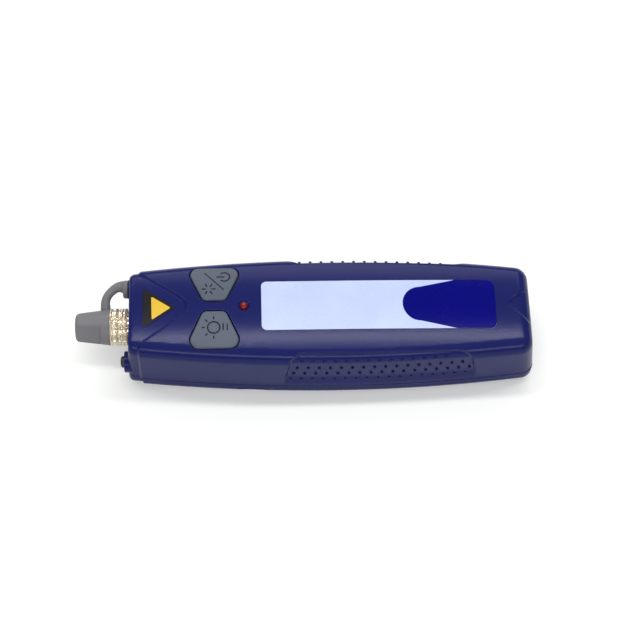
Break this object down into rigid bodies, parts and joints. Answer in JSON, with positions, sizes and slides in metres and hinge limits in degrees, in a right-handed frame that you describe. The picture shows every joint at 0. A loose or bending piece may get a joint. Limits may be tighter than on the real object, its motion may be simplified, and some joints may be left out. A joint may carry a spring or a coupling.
{
  "type": "visual fault locator",
  "caption": "Handheld fibre tester with a knurled optical port under a strapped dust cap, rubber keys, ribbed side grips and a sliding battery door.",
  "frame": {"origin": "on the surface it lies on, under the middle of its overall box", "axes": "+X from the optical port to the butt, +Z out of the front face with the keys, +Y completes the set"},
  "size_m": [0.172, 0.044, 0.0328],
  "materials": {
    "shell_plastic": "moulded satin",
    "label_film": "satin film",
    "decal_film": "satin film",
    "key_rubber": "satin",
    "cap_rubber": "matt",
    "led_red": "clear tinted",
    "board_laminate": "solder mask",
    "black_plastic": "moulded",
    "switch_plastic": "moulded",
    "plunger_plastic": "moulded",
    "trimmer_plastic": "moulded",
    "can_aluminium": "drawn",
    "plated_brass": "nickel plated",
    "zirconia": "polished",
    "brass": "turned",
    "lens_glass": "polished",
    "gold_plate": "plated",
    "cell_jacket": "plain sleeve",
    "spring_steel": "nickel plated",
    "screw_steel": "zinc plated",
    "black_screw": "blackened"
  },
  "bodies": {
    "housing": {"front_shell": "shell_plastic", "rear_shell": "shell_plastic", "label_plate": "label_film", "nose_decal": "decal_film", "power_switch": "switch_plastic", "mode_switch": "switch_plastic", "indicator_led": "led_red", "circuit_board": "board_laminate", "driver_chip": "black_plastic", "capacitor": "can_aluminium", "trimmer": "trimmer_plastic", "port_adapter": "plated_brass", "lock_ring": "plated_brass", "knurled_ring": "plated_brass", "ferrule_sleeve": "zirconia", "laser_barrel": "brass", "focus_lens": "lens_glass", "lens_ring": "brass", "laser_diode": "gold_plate", "diode_ring": "brass", "cap_strap": "cap_rubber", "lug_screw": "black_screw", "battery_tray": "black_plastic", "battery_far": "cell_jacket", "battery_near": "cell_jacket", "positive_contact": "spring_steel", "negative_contact": "spring_steel", "contact_bridge": "spring_steel", "tail_spring": "spring_steel", "front_spring": "spring_steel", "housing_screws": "screw_steel", "board_screws": "screw_steel", "tray_screws": "screw_steel"},
    "power_key": {"power_key": "key_rubber", "power_plunger": "plunger_plastic"},
    "mode_key": {"mode_key": "key_rubber", "mode_plunger": "plunger_plastic"},
    "cap": {"dust_cap": "cap_rubber"},
    "door": {"battery_door": "shell_plastic"}
  },
  "joints": [
    {"name": "power_key_press", "type": "slide", "parent": "housing", "child": "power_key", "axis": [0, 0, -1], "range_m": [0, 0.0005], "stiffness_N_per_m": 3000, "springref_m": -0.0002},
    {"name": "mode_key_press", "type": "slide", "parent": "housing", "child": "mode_key", "axis": [0, 0, -1], "range_m": [0, 0.0005], "stiffness_N_per_m": 3000, "springref_m": -0.0002},
    {"name": "cap_pull", "type": "slide", "parent": "housing", "child": "cap", "axis": [-1, 0, 0], "range_m": [0, 0.02], "deforming": ["cap_strap"]},
    {"name": "door_slide", "type": "slide", "parent": "housing", "child": "door", "axis": [1, 0, 0], "range_m": [0, 0.062]}
  ]
}
